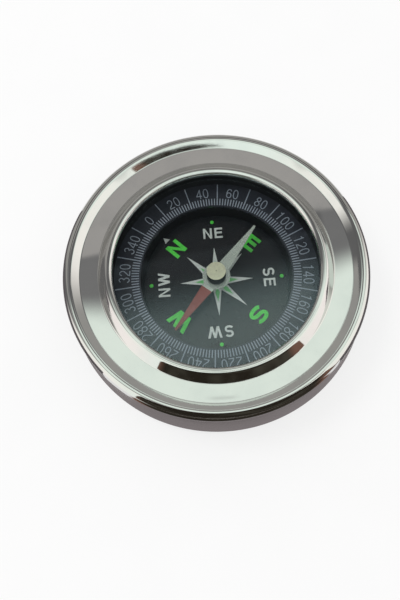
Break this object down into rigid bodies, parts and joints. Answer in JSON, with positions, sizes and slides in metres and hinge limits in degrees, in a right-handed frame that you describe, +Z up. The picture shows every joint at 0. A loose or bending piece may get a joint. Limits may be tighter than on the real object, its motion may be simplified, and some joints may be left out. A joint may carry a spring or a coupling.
{
  "type": "pocket compass",
  "caption": "Round pocket compass in a polished steel case: rolled bezel, clear crystal, sunken black dial under a raised degree scale, and a free-turning magnetic needle on a pivot pin.",
  "frame": {"origin": "centre of the flat underside of the base cup", "axes": "+Z up through the crystal along the needle's pivot, +Y towards north on the dial, +X towards east"},
  "size_m": [0.06, 0.06, 0.0124],
  "materials": {
    "case_steel": "mirror-polished steel with fine rub marks",
    "crystal_glass": "clear flat glass",
    "gasket_rubber": "matt black rubber",
    "capsule_plastic": "black moulded plastic",
    "spacer_plastic": "dark grey moulded plastic",
    "pad_foam": "grey adhesive foam",
    "scale_black": "satin black, printed in pale blue-grey",
    "dial_black": "satin black, printed in green and white",
    "bush_brass": "turned brass",
    "pin_steel": "ground hardened steel",
    "needle_paint": "steel blade, pale grey paint on one half and brick red on the other",
    "cap_nickel": "turned nickel plate, satin top",
    "jewel_stone": "polished synthetic ruby"
  },
  "bodies": {
    "case": {"base_cup": "case_steel", "bezel": "case_steel", "crystal": "crystal_glass", "crystal_gasket": "gasket_rubber", "capsule": "capsule_plastic", "spacer_ring": "spacer_plastic", "backing_pad": "pad_foam", "scale_ring": "scale_black", "dial_plate": "dial_black", "pivot_bush": "bush_brass", "pivot_pin": "pin_steel"},
    "needle": {"needle_blade": "needle_paint", "needle_cap": "cap_nickel", "jewel_bearing": "jewel_stone"}
  },
  "joints": [
    {"name": "needle_swing", "type": "hinge", "parent": "case", "child": "needle", "pos_m": [0, 0, 0.0064], "axis": [0, 0, 1], "continuous": true}
  ]
}
